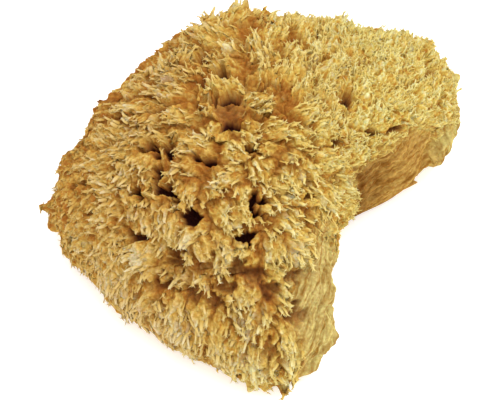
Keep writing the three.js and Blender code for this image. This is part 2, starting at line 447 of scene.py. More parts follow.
@dataclass(frozen=True)
class Pits:
    """Open pits in the flesh. Each is an oval bell with steep sides, whose downhill side may run out gently."""

    form: SpongeForm
    steepness: Pair = (8.0, 4.5)  # uphill and downhill
    power: float = 1.5
    fringe: float = 1.1  # how far round a pit its fringe grows, in half widths past its mouth
    fringe_from: float = 0.5  # and how far inside its mouth it starts
    samples: int = 60000  # directions among which the mouths' places are looked up
    seed: int = 3
    warp: Warp = Warp(6 * MM, 0.9 * MM, seed=15)
    fine_warp: Warp = Warp(2 * MM, 0.3 * MM, seed=18)
    mouths: tuple[tuple[float, ...], ...] = (
        (-11, 12, 5.6, 7.0, 0, 3.6, 1.0), (-11, 17, 4.2, 3.0, 20, 9, 1.0), (-9, 6, 4.6, 3.4, 20, 11, 1.0),
        (-38, -1, 4.8, 2.7, -20, 11, 1.1), (-30, -5, 3.6, 2.2, -20, 8, 1.2), (-19, -8, 5.4, 2.2, -30, 10, 1.0),
        (-35, -12, 3.8, 2.5, 80, 10, 1.0),
        (-34, -17, 3.4, 2.5, -40, 10, 1.0), (-30, -19, 4.0, 2.6, -40, 11, 1.1), (-24, -24, 4.0, 2.2, -30, 10, 1.1),
        (-42, -17, 4.6, 2.7, 0, 11, 1.0), (-23, -28, 3.4, 2.0, -10, 10, 1.2), (-63, -7, 4.4, 2.4, 10, 6, 1.2),
        (-58, -17, 3.6, 2.2, 0, 6, 1.2), (-59, 8, 4.4, 2.8, 90, 6, 1.3), (-43, -30, 4.2, 2.8, 0, 6, 1.4),
        (-31, 14, 3.8, 2.2, 0, 6, 1.0), (-2, -4, 3.0, 2.2, 90, 7, 1.0), (-1, -24, 6.0, 2.0, 90, 9, 1.0),
        (-4, -35, 4.6, 2.2, 0, 9, 1.0), (-17, 24, 5.0, 2.9, 0, 7, 1.0), (-12, 28, 5.2, 3.4, 90, 7, 1.0),
        (4, 21, 4.4, 2.4, 0, 6, 1.0), (10, 32, 3.4, 2.6, 90, 5, 1.0), (30, 17, 4.8, 3.2, 90, 6, 1.0),
        (40, 7, 3.6, 2.4, 0, 5, 1.0), (48, 11, 4.2, 2.4, 30, 5, 1.0), (26, 2, 3.0, 2.2, 0, 5, 1.0),
        (16, -19, 3.2, 2.2, 0, 5, 1.0), (-7, -44, 4.0, 3.0, 60, 4.5, 2.2), (-1, -46, 5.0, 3.0, -20, 4.5, 2.2),
        (3, -50, 3.4, 2.8, -40, 4.5, 1.8), (-12, -49, 3.6, 2.8, 60, 3.8, 1.8), (-31, -46, 4.8, 3.4, 0, 3.8, 1.5),
        (-22, -51, 3.8, 3.0, 0, 3.8, 1.5), (-17, -42, 4.0, 3.2, 90, 3.0, 1.6), (-28, -39, 4.4, 3.2, 90, 4, 1.5),
        (-15, -54, 4.4, 3.2, 0, 3.8, 1.6), (12, -58, 4.4, 3.4, 60, 3.8, 1.6), (10, -46, 3.6, 3.0, 0, 3.8, 1.4),
        (4, -68, 5.0, 2.4, 90, 3.0, 1.2), (-56, 25, 3.6, 2.4, 40, 6, 1.0), (-34, 47, 5.4, 3.2, 20, 7, 1.0),
        (-9, 66, 3.4, 2.2, 0, 5, 1.0), (20, 60, 4.6, 2.6, -20, 6, 1.0), (49, 55, 3.2, 2.4, -40, 5, 1.0),
        (61, 36, 4.2, 2.8, 70, 6, 1.0), (-20, 38, 4.6, 3.0, 30, 6, 1.0), (14, 45, 4.6, 3.0, -20, 6, 1.0),
    )  # place seen from above, half length, half width (mm), turn (degrees), depth (mm), downhill reach

    @cached_property
    def placed(self) -> tuple[Array, Array, Array, Array]:
        """Set each pit on the skin.

        Returns:
            The mouths' points, their long axes, their cross axes, which point downhill, and the table of sizes.
        """
        table = np.array(self.mouths)
        grid = random_directions(np.random.default_rng(self.seed), self.samples)
        grid = grid[grid[:, 2] > 0.0]
        skin = self.form.skin(grid)[0]
        places = self.form.plan(tuple(map(tuple, table[:, :2])))
        gaps = ((skin[None, :, :2] - places[:, None]) ** 2).sum(axis=2)
        nearest = gaps.argmin(axis=1)
        normal = self.form.normals(grid[nearest])
        turn = np.radians(table[:, 4])
        heading = np.column_stack([np.cos(turn), np.sin(turn), np.zeros(len(turn))])
        long_axis = beside(heading, normal)
        cross_axis = np.cross(normal, long_axis)
        downhill = np.sign((cross_axis * normal * np.array([1.0, 1.0, 0.0])).sum(axis=1) + TINY)
        return skin[nearest], long_axis, cross_axis * downhill[:, None], table

    def fields(self, points: Array) -> tuple[Array, Array, Array]:
        """Measure the pits at points on the skin.

        With d the distance from a mouth in half lengths and half widths, a pit sinks by its depth times
        (1 - d to the power of the steepness), itself to a power.

        Args:
            points: points on the smooth skin.

        Returns:
            How deep each point sinks, its share of its pit's depth, and a vector towards the nearest pit that
            is 1 long at its mouth's edge and fades outside it.
        """
        mouths, long_axes, cross_axes, table = self.placed
        points = points + self.warp.at(points) + self.fine_warp.at(points)
        depth = np.zeros(len(points))
        share = np.zeros(len(points))
        pull = np.zeros((len(points), 3))
        closest = np.zeros(len(points))
        for mouth, long_axis, cross_axis, row in zip(mouths, long_axes, cross_axes, table, strict=True):
            half_length, half_width, reach = row[2] * MM, row[3] * MM, row[6]
            offset = points - mouth
            along = offset @ long_axis
            across = offset @ cross_axis
            off = np.linalg.norm(offset - np.outer(along, long_axis) - np.outer(across, cross_axis), axis=1)
            width = np.where(across > 0.0, half_width * reach, half_width)
            distance = np.sqrt((along / half_length) ** 2 + (across / width) ** 2 + (off / half_length) ** 2)
            steepness = np.where(across > 0.0, self.steepness[1], self.steepness[0])
            bell = np.clip(1.0 - distance**steepness, 0.0, 1.0) ** self.power
            near = np.clip(1.0 - (distance - 1.0) / self.fringe, 0.0, 1.0) * (distance > self.fringe_from)
            pull = np.where((near > closest)[:, None], -unit(offset) * near[:, None], pull)
            closest = np.maximum(closest, near)
            share = np.maximum(share, bell)
            depth = np.maximum(depth, bell * row[5] * MM)
        return depth, share, pull


@dataclass(frozen=True)
class SkinSample:
    """The sponge's skin at a set of directions."""

    ground: Array  # points on the smooth skin
    normal: Array  # its outward normals
    surface: Array  # the points of the flesh, raised and sunk
    way: Array  # the way the fibre points
    comb: Array  # the way its clump is combed, along the skin
    pull: Array  # towards a pit, for its fringe
    peak: Array  # how far up its tuft a point is, from 0 to 1
    tone: Array  # the tuft's own shade, from 0 to 1
    hollow: Array  # share of a pit's depth, from 0 to 1
    depth: Array  # how deep in a pit a point is
    rim: Array  # how near a pit's edge is, from 0 to 1 at the edge
    crease: Array  # 1 in the crease between two clumps, falling to 0
    trim: Array  # 1 where the fibre is worn short
    wall: Array  # 1 where that is the bay's wall
    shade: Array  # 1 in the bay's inner corner, falling to 0 along its wall: where painted shade falls under the wing's lip
    clear: Array  # 0 at the cut face, and 1 from the rim up
    front: Array  # 1 on the front lobe
    cut: Array  # 1 on the cut face
    gap: Array  # 1 in the gaps between clumps, falling to 0 on them
    strand: Array  # the place in its clump along the fibre and across it, with a shift of the clump's own
    upright: Array  # 1 where the tufts stand upright, on the wing
    tuft: Array  # the number of its tuft

    def chosen(self, picks: Array) -> "SkinSample":
        """Pick out some of the points."""
        return SkinSample(*(getattr(self, name)[picks] for name in self.__dataclass_fields__))


@dataclass(frozen=True)
class Skin:
    """The flesh's surface: the smooth form with everything that raises and sinks it."""

    form: SpongeForm
    pits: Pits
    mound_height: float = 1.6 * MM
    mound_width: float = 14 * MM
    slant_width: float = 17.5 * MM
    mound_phases: Pair = (1.0, 2.0)
    mound_shear: float = 0.5
    clumps: TuftLayer = TuftLayer(
        Cells(9.0 * MM, seed=34), height=4.6 * MM, lowest=0.5, root_width=0.75, tip_width=0.6
    )
    tufts: TuftLayer = TuftLayer(Cells(2.0 * MM, seed=35), height=2.6 * MM, lowest=0.2, stray=0.5)
    tuftlets: TuftLayer = TuftLayer(Cells(1.15 * MM, seed=36), height=1.2 * MM, lowest=0.1, stray=0.6)
    squeeze: float = 0.4  # how much shorter than long a tuft is across its flow
    front_squeeze: float = 0.62  # and on the front lobe
    wing_round: float = 0.7  # how much of that is lost on the wing
    clump_step: float = 13 * MM  # how far apart the clumps' own tufts are laid out
    clump_shift: float = 0.3  # and how far apart their fibres' patterns, at most
    warp: Warp = Warp(4 * MM, 0.5 * MM, seed=37)
    felt_depth: float = 0.9 * MM
    crease_width: float = 0.2  # in grid cubes of the clumps
    crease_depth: float = 1.0 * MM
    ripple_height: float = 0.4 * MM
    grain_height: float = 0.2 * MM
    streak_height: float = 0.5 * MM
    pore_depth: float = 0.5 * MM
    ripples: Waves = Waves(3.4 * MM, seed=31)
    grain: Waves = Waves(1.7 * MM, seed=32)
    worn_smooth: float = 0.6  # how much smoother the trimmed sides are
    pleat_length: float = 7.0 * MM
    pleat_seed: int = 60
    streak_length: float = 2.2 * MM
    streak_seed: int = 70
    draw_out: float = 7.0  # how much longer pleats and streaks are than wide
    lean_centre: Pair = (-10.5, 11.5)
    lean_reach: float = 60 * MM
    droop: float = 0.7
    wander: Pair = (3.6, 1.3)  # how far clumps go astray, at the centre and at the lean's reach
    stand: Pair = (0.15, 0.8)  # how far tongues stand up, to 1 along the skin, at the rim and the top
    stand_full: float = 0.7  # the rise from which they stand up the most
    stand_more: float = 0.35  # how much further they stand up at the back
    stand_less: float = 0.7  # how much less on the flank
    wing_right: Pair = (5 * MM, 35 * MM)  # where along X the wing starts, on which tongues stand upright
    wing_back: Pair = (-15 * MM, 5 * MM)  # and where along Y
    wing_stand: float = 1.3  # how much further they stand up there
    wing_comb: Triple = (0.25, 1.0, 0.0)
    wing_combing: float = 0.85  # how much of the combing there is that way
    wing_low: float = 0.5  # how much lower the tufts there are
    shade_fades: Pair = (34 * MM, 50 * MM)  # where along X the painted shade on the bay's wall fades
    front_ends: Pair = (-45 * MM, -20 * MM)  # where along Y the front lobe ends
    calm_left: Pair = (15 * MM, 42 * MM)  # where along -X the calm left side starts
    calm_back: Pair = (-20 * MM, 2 * MM)  # where along -Y
    calm_front: Pair = (-50 * MM, -32 * MM)  # where along Y
    calm_wing: Pair = (12 * MM, 45 * MM)  # where along X the calm wing starts
    least_clumping: float = 0.35
    least_clump: float = 0.4  # how much of their height clumps keep where they don't stand apart
    gap_edge: float = 0.28  # up to which share of a clump's height its gap reaches
    front_gap: float = 0.65  # how much less the gaps show at the front
    wing_gap: float = 0.6  # and on the wing
    gap_share: float = 0.3  # how much of their height tufts keep in the gaps between clumps
    ledge: Triple = (0.65, 1.0, 1.0)  # how clumps are squeezed at the back of the left side
    ledge_back: Pair = (-5 * MM, 25 * MM)  # where along Y that starts
    ledge_right: Pair = (-10 * MM, 30 * MM)  # and where along X it ends
    lock: Triple = (1.2, 0.85, 0.85)  # and on the front lobe
    fringe_lean: float = 0.35
    pit_share: float = 0.12  # how much of their height tufts keep down in a pit
    bare_depth: float = 8 * MM  # from how deep down that is all
    bare_power: float = 0.6
    clump_peak: float = 0.15  # how much of a point's height up its tuft comes from its clump
    front_peak: float = 0.45  # how much more on the front lobe
    tuft_peak: float = 0.85
    tuftlet_peak: float = 0.2
    foot_peak: float = 0.3  # how much is added at the cut face
    spur_peak: float = 0.5  # and on spurs
    spur_pulls: Pair = (3.5 * MM, 6.0 * MM)  # from none of it to all
    rim_thinning: float = 0.3  # how much of it they lose at a pit's edge
    back_more: float = 0.15  # how much taller the tufts at the back stand, and shorter at the front
    back_at: float = math.radians(80)
    spurs: tuple[tuple[float, ...], ...] = (
        (-72, -6, 15, -4.6, 1, 1, 4.6), (-71, -12, 14, -5.0, -1, 0, 4.2), (10, -73, 9, 0, -7.5, -4, 2.8),
        (14, -72, 10, 1, -5.5, -3, 2.4), (25, -56, 13, 3.5, -2, 0, 2.4), (-2, -72, 9, -2, -4, -3, 2.6),
        (-7, 58, 35, -0.5, 3.5, 3.5, 16), (2, 67, 27, 0, 3, 2, 11), (-16, 60, 32, -0.5, 2.5, 1.5, 10),
        (-40, 45, 29, -2, 2, 1.5, 15), (-54, 28, 26, -3, 2.5, 1, 20), (-26, 56, 31, -1.5, 3, 2, 18),
        (-66, 8, 18, -2, 1, 0, 16), (-66, -20, 13, -2, -1, 0, 11), (-48, -43, 7, -1, -1.5, 0, 16),
        (31, 62, 31, 0, 2.5, 2, 11), (49, 58, 30, 0, -6, -5, 8), (62, 50, 31, 1.5, 3, 2, 11),
        (75, 41.5, 25, -6.5, -1, 0, 8), (73, 30, 22, -3, 0, 0, 9), (27, -36, 16, -3, 0, 0, 18),
        (26, -48, 13, -2, 0, 0, 14), (20, -64, 5, 1, -2, 0, 9), (3, -71.5, 6, 0, -3, 0, 8),
        (65, 17, 6, -2, 4, 1, 9), (60.5, 14.5, 4, -2, 6, 1, 5), (60.5, 13, 11, -2, 6, 1, 5),
        (56, 9.5, 6, 5, 2, 0, 3),
    )  # the place, the pull and the radius, in millimetres

    def mounds(self, points: Array) -> Array:
        """Raise low mounds: the mean of a pair of crossed waves and of a second pair that runs slantwise."""
        x, y, z = points.T
        wave, slant = math.pi / self.mound_width, math.pi / self.slant_width
        shift = self.mound_shear * z
        first = np.sin(wave * (x + shift) + self.mound_phases[0]) * np.cos(wave * (y - shift))
        second = np.sin(slant * (x - y) + self.mound_phases[1]) * np.cos(slant * (x + y + z))
        return self.mound_height * (first + second) / 2.0

    def combed(self, ground: Array, sides: Array) -> Array:
        """Raise the trimmed sides in pleats and streaks that follow each side's run.

        Args:
            ground: points on the smooth skin.
            sides: how far each side trims each point.

        Returns:
            The height at each point.
        """
        height = np.zeros(len(ground))
        for index, (side, share) in enumerate(zip(self.form.trimmed_sides, sides, strict=True)):
            pleats = Waves(self.pleat_length, self.pleat_seed + index, run=side.run, stretch=self.draw_out)
            streaks = Waves(self.streak_length, self.streak_seed + index, run=side.run, stretch=self.draw_out)
            height += share * (side.pleat * pleats.at(ground) + self.streak_height * streaks.at(ground))
        return height

    def pulled(self, ground: Array) -> Array:
        """Pull the skin out into spurs and in at dents, by (1 - distance / radius) to the power of 3/2.

        Args:
            ground: points on the smooth skin.

        Returns:
            The vectors by which the points move.
        """
        total = np.zeros_like(ground)
        for row in np.array(self.spurs) * MM:
            share = np.clip(1.0 - np.linalg.norm(ground - row[:3], axis=1) / row[6], 0.0, 1.0) ** 1.5
            total += share[:, None] * row[3:6]
        return total

    def squeezing(self, ground: Array) -> Array:
        """Say how the clumps are squeezed: into wide ledges at the back of the left side, into locks at the front.

        Args:
            ground: points on the smooth skin.

        Returns:
            A factor for each axis, at each point.
        """
        x, y, _ = ground.T
        ledge = smooth_step(y, *self.ledge_back) * (1.0 - smooth_step(x, *self.ledge_right))
        factor = lerp(np.ones(3), np.array(self.ledge), ledge[:, None])
        return lerp(factor, np.array(self.lock), self.front(ground)[:, None])

    def clumping(self, ground: Array) -> Array:
        """Say how far the clumps stand apart, from a little on the calm left side and the wing to 1 elsewhere."""
        x, y, _ = ground.T
        calm = smooth_step(-x, *self.calm_left) * smooth_step(-y, *self.calm_back) * smooth_step(y, *self.calm_front)
        return lerp(1.0, self.least_clumping, np.maximum(calm, smooth_step(x, *self.calm_wing)))

    def front(self, ground: Array) -> Array:
        """Say how far points lie on the front lobe, from 0 to 1."""
        return 1.0 - smooth_step(ground[:, 1], *self.front_ends)

    def wing(self, ground: Array) -> Array:
        """Say how far points lie on the wing, from 0 to 1."""
        return smooth_step(ground[:, 0], *self.wing_right) * smooth_step(ground[:, 1], *self.wing_back)

    def flow(self, middle: Array, owner: Array, normal: Array, sides: Array) -> Array:
        """Find the way the fibre runs along the skin.

        Each clump is combed away from the lean's centre, down the slope and a little astray. On trimmed sides
        the fibre lies along the side's run.

        Args:
            middle: the clumps' middles.
            owner: the clumps' cubes.
            normal: the skin's normals.
            sides: how far each side trims each point.

        Returns:
            Unit vectors.
        """
        cells = self.clumps.cells
        centre = np.append(self.form.plan((self.lean_centre,))[0], 0.0)
        away = middle - centre
        away[:, 2] = 0.0
        reach = np.linalg.norm(away, axis=1) / self.lean_reach
        comb = unit(away)
        comb[:, 2] = -self.droop * reach
        astray = np.stack([cells.draw(owner, k) for k in (9, 10, 11)], axis=1) - 0.5
        comb += lerp(*self.wander, np.clip(reach, 0.0, 1.0))[:, None] * astray
        comb = lerp(unit(comb), unit(np.array(self.wing_comb) + astray), self.wing_combing * self.wing(middle)[:, None])
        runs = np.array([side.run for side in self.form.trimmed_sides])
        comb = lerp(unit(comb), unit(sides.T @ runs + TINY), sides.max(axis=0)[:, None])
        return beside(comb, normal)

    def at(self, directions: Array) -> SkinSample:
        """Work out the skin in a set of directions.

        Clumps, tufts and tuftlets stand on each other, and fade on trimmed sides, in pits and towards the cut
        face. Ripples and grain are random waves, and a crease is a bell of the gap between two clumps.

        Args:
            directions: unit vectors.

        Returns:
            The skin there.
        """
        ground, azimuth, rise = self.form.skin(directions)
        normal = self.form.normals(directions)
        sides = self.form.trimming(azimuth, rise)
        trim = sides.max(axis=0)
        clear = smooth_step(ground[:, 2], 0.0, self.form.rim_height)
        depth, hollow, pull = self.pits.fields(ground)
        squeezing = self.squeezing(ground)
        warped = ground + self.warp.at(ground)
        cells = self.clumps.cells
        offset, between, owner = cells.at(warped * squeezing)
        local = offset * cells.size / squeezing
        comb = self.flow(warped - local, owner, normal, sides)
        flow = (comb, np.cross(normal, comb))
        back = np.cos(azimuth - self.back_at)
        front = self.front(ground)
        flat = self.form.flank.share(azimuth, rise)
        stand = lerp(*self.stand, smooth_step(rise, 0.0, self.stand_full)) + self.stand_more * np.clip(back, 0.0, 1.0)
        upright = self.wing(ground) * (1.0 - trim)
        stand = stand * (1.0 - self.stand_less * flat) + self.wing_stand * upright
        way = unit(comb + stand[:, None] * normal + self.fringe_lean * pull)
        clump, clump_share = self.clumps.raise_felt(offset, owner, flow, way, upright)
        along, across = ((local * axis).sum(axis=1) for axis in flow)
        strand = np.column_stack([along, across, np.zeros(len(along))])
        strand += self.clump_shift * cells.draw(owner, 12)[:, None]
        axes = np.array([side.axes() for side in self.form.trimmed_sides])[sides.argmax(axis=0)]
        strand = np.where(trim[:, None] > 0.5, np.einsum("nij,nj->ni", axes, ground), strand)
        squeeze = lerp(self.squeeze, self.front_squeeze, front) * (1.0 - self.wing_round * upright)
        local = local - (squeeze * along)[:, None] * comb + owner * self.clump_step
        tuft_offset, _, tuft_owner = self.tufts.cells.at(local)
        tuft, tuft_share = self.tufts.raise_felt(tuft_offset, tuft_owner, flow, way, upright)
        tuftlet_offset, _, tuftlet_owner = self.tuftlets.cells.at(local)
        tuftlet, tuftlet_share = self.tuftlets.raise_felt(tuftlet_offset, tuftlet_owner, flow, way, upright)
        tone = self.tufts.cells.draw(tuft_owner, 8)
        apart = self.clumping(ground)
        clumping = apart * (1.0 - trim)
        crease = np.exp(-((between / self.crease_width) ** 2)) * (1.0 - clump_share) * clumping
        gap = (1.0 - smooth_step(clump_share, 0.0, self.gap_edge)) * clumping
        gap = gap * (1.0 - self.front_gap * front) * (1.0 - self.wing_gap * upright)
        shortness = 1.0 - (sides * np.array([[1.0 - side.short] for side in self.form.trimmed_sides])).max(axis=0)
        shortness *= lerp(1.0, self.form.flank.short, flat)
        rim = np.linalg.norm(pull, axis=1)
        sunk = np.clip(depth / self.bare_depth, 0.0, 1.0) ** self.bare_power
        standing = clear * shortness * lerp(1.0, self.pit_share, sunk) * (1.0 - self.rim_thinning * rim)
        tall = 1.0 + self.back_more * back
        grown = lerp(1.0, self.gap_share, gap) * standing
        peak = (self.clump_peak + self.front_peak * front) * clump_share
        peak = peak + self.tuft_peak * tuft_share + self.tuftlet_peak * tuftlet_share
        peak = np.clip(peak, 0.0, 1.0) * grown
        pulled = self.pulled(ground)
        spur = smooth_step(np.linalg.norm(pulled, axis=1), *self.spur_pulls)
        peak += self.foot_peak * (1.0 - clear) + self.spur_peak * spur

        rough = self.ripple_height * self.ripples.at(ground) + self.grain_height * self.grain.at(ground)
        raised = self.mounds(ground) + self.combed(ground, sides) + rough * (1.0 - self.worn_smooth * trim)
        raised += self.felt_depth - self.crease_depth * crease
        surface = ground + pulled + normal * (clear * (raised - depth))[:, None]
        surface += clump * (standing * tall * lerp(self.least_clump, 1.0, apart))[:, None]
        surface += (tuft + tuftlet) * (grown * tall * (1.0 - self.wing_low * upright))[:, None]

        # painted shade: darkest in the bay's inner corner, under the wing's lip, and fading along its wall
        shade = sides[0] * (1.0 - smooth_step(ground[:, 0], *self.shade_fades))
        cut = (directions[:, 2] <= -math.sin(self.form.tuck)).astype(float)
        pores = self.pore_depth * np.clip(self.ripples.at(ground) + self.grain.at(ground), 0.0, 2.0)
        surface[:, 2] = np.maximum(surface[:, 2], 0.0) + cut * pores
        return SkinSample(
            ground, normal, surface, way, comb, pull, peak, tone, hollow, depth, rim, crease, trim, sides[0], shade,
            clear, front, cut, gap, strand, upright, number(tuft_owner),
        )


class Nodes:
    """A short way to write a material's nodes."""

    def __init__(self, name: str) -> None:
        """Start a material with a Principled surface.

        Args:
            name: the material's name.
        """
        self.material = bpy.data.materials.new(name)
        self.material.use_nodes = True
        self.tree = self.material.node_tree
        self.shader = self.tree.nodes["Principled BSDF"]

    def add(self, kind: str, settings: dict | None = None, inputs: dict | None = None) -> bpy.types.Node:
        """Add a node.

        Args:
            kind: the node's type.
            settings: values for the node's properties, by name.
            inputs: values or sockets for the node's inputs, by name or number.

        Returns:
            The new node.
        """
        node = self.tree.nodes.new(kind)
        for key, value in (settings or {}).items():
            setattr(node, key, value)
        for key, value in (inputs or {}).items():
            self.feed(node.inputs[key], value)
        return node

    def feed(self, socket: Socket, value: object) -> None:
        """Link a socket to an input, or set the input to a value."""
        if isinstance(value, Socket):
            self.tree.links.new(value, socket)
        else:
            socket.default_value = value

    def attribute(self, name: str) -> Socket:
        """Read one of the piece's own attributes as a number."""
        return self.add("ShaderNodeAttribute", {"attribute_name": name}).outputs["Fac"]

    def place(self) -> Socket:
        """Read the place on the piece, in metres."""
        return self.add("ShaderNodeTexCoord").outputs["Object"]

    def noise(self, size: float, detail: float = 3.0) -> Socket:
        """Read soft noise whose patches are about a size across.

        Args:
            size: the patches' size, in metres.
            detail: how many finer layers are added.

        Returns:
            A number from 0 to 1.
        """
        node = self.add(
            "ShaderNodeTexNoise", inputs={"Vector": self.place(), "Scale": 1.0 / size, "Detail": detail}
        )
        return node.outputs["Fac"]

    def strand(self, length: float, width: float) -> Socket:
        """Read the place along the fibre and across it, in lengths and widths."""
        place = self.add("ShaderNodeAttribute", {"attribute_name": "strand"}).outputs["Vector"]
        scale = {0: place, 1: (1.0 / length, 1.0 / width, 1.0 / length)}
        return self.add("ShaderNodeVectorMath", {"operation": "MULTIPLY"}, scale).outputs["Vector"]

    def fibres(self, length: float, width: float, twist: float) -> Socket:
        """Read soft noise that is drawn out along the fibre.

        Args:
            length: how long its streaks are, in metres.
            width: how wide they are.
            twist: how far they wander.

        Returns:
            A number from 0 to 1.
        """
        inputs = {"Vector": self.strand(length, width), "Scale": 1.0, "Detail": 2.0, "Distortion": twist}
        return self.add("ShaderNodeTexNoise", inputs=inputs).outputs["Fac"]

    def flakes(self, length: float, width: float) -> Socket:
        """Read small flakes that lie along the fibre, from 1 at their middles to 0 between them.

        Args:
            length: how long a flake is, in metres.
            width: how wide it is.

        Returns:
            A number from 0 to 1.
        """
        inputs = {"Vector": self.strand(length, width), "Scale": 1.0}
        distance = self.add("ShaderNodeTexVoronoi", inputs=inputs).outputs["Distance"]
        slope, top = -1.7, 1.1  # from 1 near the middle to 0 about two thirds of a flake away
        return self.maths("MULTIPLY_ADD", distance, slope, top)

    def maths(self, work: str, *values: object, clamp: bool = True) -> Socket:
        """Do a sum with numbers, kept between 0 and 1 unless clamp is off."""
        node = self.add("ShaderNodeMath", {"operation": work, "use_clamp": clamp}, dict(enumerate(values)))
        return node.outputs[0]

    def ramp(self, share: Socket, stops: tuple[float, ...], colours: tuple[Colour, ...]) -> Socket:
        """Go through colours by a share.

        Args:
            share: a number from 0 to 1.
            stops: places on the way.
            colours: the colours there.

        Returns:
            The colour.
        """
        node = self.add("ShaderNodeValToRGB", inputs={"Fac": share})
        elements = node.color_ramp.elements
        while len(elements) < len(stops):
            elements.new(0.5)
        for element, position, colour in zip(elements, stops, colours, strict=True):
            element.position, element.color = position, colour
        return node.outputs["Color"]

    def mix(self, share: object, low: object, high: object, way: str = "MIX") -> Socket:
        """Mix two colours by a share.

        Args:
            share: how much of the second colour to take.
            low: the first colour.
            high: the second colour.
            way: how the colours are put together.

        Returns:
            The mixed colour.
        """
        node = self.add("ShaderNodeMix", {"data_type": "RGBA", "blend_type": way})
        for socket, value in zip((node.inputs[0], node.inputs[6], node.inputs[7]), (share, low, high), strict=True):
            self.feed(socket, value)
        return node.outputs[2]

    def bump(self, height: Socket, distance: float, strength: float) -> None:
        """Bump the surface by a height.

        Args:
            height: a number from 0 to 1.
            distance: how high 1 is, in metres.
            strength: how much of the bump shows.
        """
        node = self.add("ShaderNodeBump", inputs={"Height": height, "Distance": distance, "Strength": strength})
        self.feed(self.shader.inputs["Normal"], node.outputs["Normal"])

    def surface(self, inputs: dict[str, object]) -> bpy.types.Material:
        """Feed the surface's inputs by name, and return the material."""
        for name, value in inputs.items():
            self.feed(self.shader.inputs[name], value)
        return self.material


@dataclass(frozen=True)
class Bleach:
    """The way the sponge's colour changes along its length, from tan to a paler, bleached yellow."""

    tan: Colour = (0.79, 0.70, 0.65, 1.0)
    pale: Colour = (0.87, 0.92, 0.71, 1.0)
    at_roots: float = 0.45  # how much of the bleaching reaches the tufts' roots
    start: float = -40 * MM  # where along X the fibre is tan
    end: float = 42 * MM  # and where it is pale
    patch_size: float = 22 * MM
    patch_share: float = 0.7  # how far soft patches shift it

    def share(self, nodes: Nodes) -> Socket:
        """Say how much the fibre is bleached, from 0 at the start to 1 at the end, with soft patches."""
        across = nodes.add("ShaderNodeSeparateXYZ", inputs={"Vector": nodes.place()}).outputs["X"]
        length = self.end - self.start
        share = nodes.maths("MULTIPLY_ADD", across, 1.0 / length, -self.start / length)
        patch = nodes.noise(self.patch_size)
        patches = nodes.maths("MULTIPLY_ADD", patch, self.patch_share, -self.patch_share / 2, clamp=False)
        return nodes.maths("ADD", share, patches)

    def tint(self, nodes: Nodes, colour: Socket, height: Socket) -> Socket:
        """Tint a colour by its place on the sponge, and less near the roots.

        Args:
            nodes: the material's nodes.
            colour: the colour to tint.
            height: how far up its tuft a point is, from 0 to 1.

        Returns:
            The tinted colour.
        """
        share = nodes.maths("MULTIPLY_ADD", height, 1.0 - self.at_roots, self.at_roots)
        share = nodes.maths("MULTIPLY", self.share(nodes), share)
        return nodes.mix(1.0, colour, nodes.mix(share, self.tan, self.pale), "MULTIPLY")


@dataclass(frozen=True)
class FibreFinish:
    """Dry sponge fibre: tan at the roots and pale yellow at the frayed tips."""

    name: str
    root: Colour
    low: Colour
    middle: Colour
    tip: Colour = srgb(236, 228, 192)
    # painted shade over pits
    shade: Colour = srgb(128, 72, 28)
    stops: tuple[float, ...] = (0.0, 0.3, 0.62, 1.0)  # where on the way from root to tip the colours are
    along_share: float = 0.6  # how far the colour follows the strand
    tone_share: float = 0.55  # and the strand's own tone
    pit_share: float = 0.85  # how dark its painted shade is over a pit
    bleach: Bleach = Bleach()
    roughness: float = 0.9
    specular: float = 0.0

    def material(self) -> bpy.types.Material:
        """Make the finish.

        The colour follows the strand from root to tip, shifted by each strand's own tone, and is painted darker
        over pits, as shade.

        Returns:
            The material.
        """
        nodes = Nodes(self.name)
        along = nodes.maths("MULTIPLY", nodes.attribute("along"), self.along_share)
        share = nodes.maths("MULTIPLY_ADD", nodes.attribute("tone"), self.tone_share, along)
        colour = nodes.ramp(share, self.stops, (self.root, self.low, self.middle, self.tip))
        # painted shade: darker over a pit, by the pit under the strand's tuft
        dark = nodes.maths("MULTIPLY", nodes.attribute("hollow"), self.pit_share)
        colour = nodes.mix(dark, self.bleach.tint(nodes, colour, share), self.shade)
        return nodes.surface(
            {"Base Color": colour, "Roughness": self.roughness, "Specular IOR Level": self.specular}
        )


